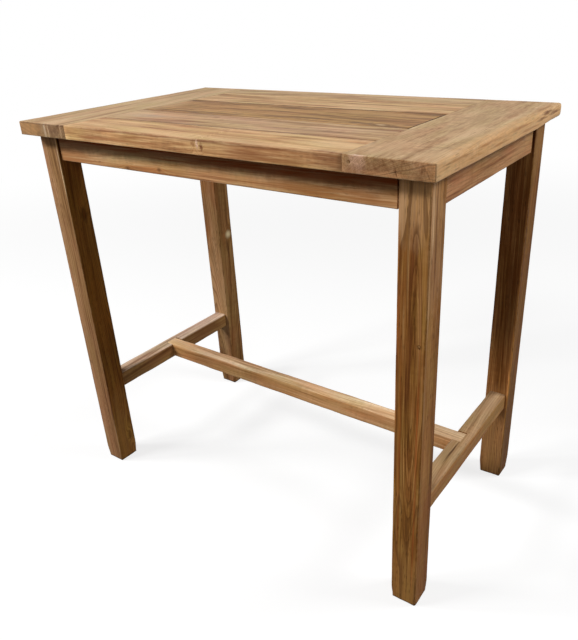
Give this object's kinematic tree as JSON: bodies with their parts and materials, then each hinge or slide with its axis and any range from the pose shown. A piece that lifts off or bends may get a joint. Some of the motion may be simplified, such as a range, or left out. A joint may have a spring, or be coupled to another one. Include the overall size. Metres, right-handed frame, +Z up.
{
  "type": "bar table",
  "caption": "Tall rectangular solid-wood bar table with a plank top between end boards, aprons, square legs and an H-shaped stretcher.",
  "frame": {"origin": "on the floor, under the middle of the top", "axes": "+Z up, +X along the length of the top, -Y towards the long side called the front"},
  "size_m": [1.2, 0.72, 1.11],
  "materials": {
    "top_board_front": "pale honey-tan teak, dry and unpolished",
    "top_board_front_middle": "greyish pink-brown teak with short dark pores",
    "top_board_centre": "darker brown teak with dark streaks and a knot",
    "top_board_rear_middle": "pale tan teak",
    "top_board_rear": "olive-tan teak",
    "end_board": "pale tan teak with a golden sapwood edge",
    "leg": "mid-brown teak with dark streaks and worn arrises",
    "apron": "warm brown teak with small knots",
    "stretcher": "orange-brown teak, paler on top",
    "hidden_wood": "plain sawn teak",
    "peg_wood": "dark teak dowel",
    "screw_steel": "dull zinc-plated steel"
  },
  "bodies": {
    "root": {"top_board_front": "top_board_front", "top_board_front_middle": "top_board_front_middle", "top_board_centre": "top_board_centre", "top_board_rear_middle": "top_board_rear_middle", "top_board_rear": "top_board_rear", "end_board_left": "end_board", "end_board_right": "end_board", "seam_spline_front": "hidden_wood", "seam_spline_front_middle": "hidden_wood", "seam_spline_centre": "hidden_wood", "seam_spline_rear_middle": "hidden_wood", "end_board_pegs_left": "peg_wood", "end_board_pegs_right": "peg_wood", "leg_front_left": "leg", "leg_front_right": "leg", "leg_rear_left": "leg", "leg_rear_right": "leg", "apron_front": "apron", "apron_rear": "apron", "apron_left": "apron", "apron_right": "apron", "stretcher_left": "stretcher", "stretcher_right": "stretcher", "stretcher_centre": "stretcher", "stretcher_lap_pegs": "peg_wood", "cross_rail_left": "hidden_wood", "cross_rail_middle": "hidden_wood", "cross_rail_right": "hidden_wood", "corner_brace_front_left": "hidden_wood", "corner_brace_front_right": "hidden_wood", "corner_brace_rear_left": "hidden_wood", "corner_brace_rear_right": "hidden_wood", "top_buttons": "hidden_wood", "top_button_screws": "screw_steel"}
  },
  "joints": []
}
